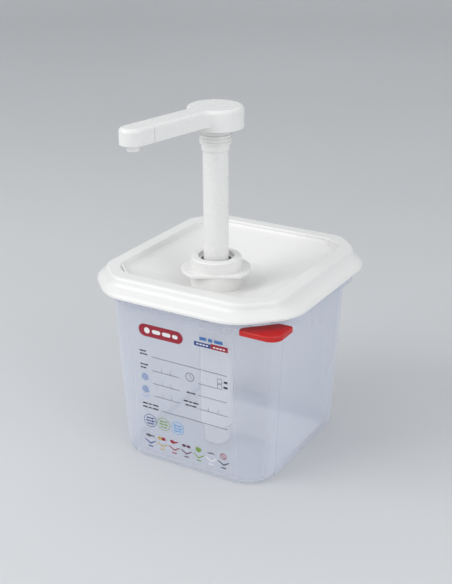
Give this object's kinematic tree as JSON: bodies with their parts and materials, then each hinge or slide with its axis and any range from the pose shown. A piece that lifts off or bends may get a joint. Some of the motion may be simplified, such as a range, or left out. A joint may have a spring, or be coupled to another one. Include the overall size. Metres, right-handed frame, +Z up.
{
  "type": "condiment pump dispenser",
  "caption": "Food pan with a flared lid carrying a hand pump: sliding stem, swivelling spout head, spring, ball valves and a colour-coding corner clip.",
  "frame": {"origin": "middle of the tub's underside, on the surface it stands on", "axes": "+Z up; -Y is the front, where the label panel and the spout are; +X is to the right seen from the front"},
  "size_m": [0.175, 0.2107, 0.2785],
  "materials": {
    "tub_plastic": "translucent, satin",
    "clip_red": "satin",
    "lid_white": "semi-gloss",
    "pump_white": "gloss",
    "barrel_plastic": "semi-gloss",
    "seal_grey": "matte",
    "ball_steel": "polished",
    "spring_steel": "bright"
  },
  "bodies": {
    "tub": {"tub": "tub_plastic", "corner_clip": "clip_red"},
    "lid": {"lid": "lid_white", "pump_barrel": "barrel_plastic", "barrel_gasket": "seal_grey", "guide_bush": "pump_white", "stem_wiper": "seal_grey", "foot_valve": "pump_white", "foot_seal_ring": "seal_grey", "inlet_cage": "pump_white", "return_spring": "spring_steel"},
    "collar": {"locking_collar": "pump_white"},
    "plunger": {"stem": "pump_white", "piston": "pump_white", "piston_seal": "seal_grey", "outlet_cage": "pump_white", "head_seal_ring": "seal_grey"},
    "head": {"pump_head": "pump_white", "thread_sleeve": "pump_white", "spout_tip": "pump_white", "nozzle": "pump_white"},
    "inlet_ball": {"inlet_ball": "ball_steel"},
    "outlet_ball": {"outlet_ball": "ball_steel"}
  },
  "joints": [
    {"name": "lid_lift", "type": "slide", "parent": "tub", "child": "lid", "axis": [0, 0, 1], "range_m": [0, 0.155]},
    {"name": "pump_stroke", "type": "slide", "parent": "lid", "child": "plunger", "axis": [0, 0, -1], "range_m": [0, 0.082], "stiffness_N_per_m": 320, "springref_m": -0.03, "deforming": ["return_spring"]},
    {"name": "head_swivel", "type": "hinge", "parent": "plunger", "child": "head", "pos_m": [0, -0.024, 0.27], "axis": [0, 0, 1], "continuous": true},
    {"name": "collar_turn", "type": "hinge", "parent": "lid", "child": "collar", "pos_m": [0, -0.024, 0.155], "axis": [0, 0, 1], "continuous": true},
    {"name": "inlet_ball_lift", "type": "slide", "parent": "lid", "child": "inlet_ball", "axis": [0, 0, 1], "range_m": [0, 0.004]},
    {"name": "outlet_ball_lift", "type": "slide", "parent": "plunger", "child": "outlet_ball", "axis": [0, 0, 1], "range_m": [0, 0.0035]}
  ]
}
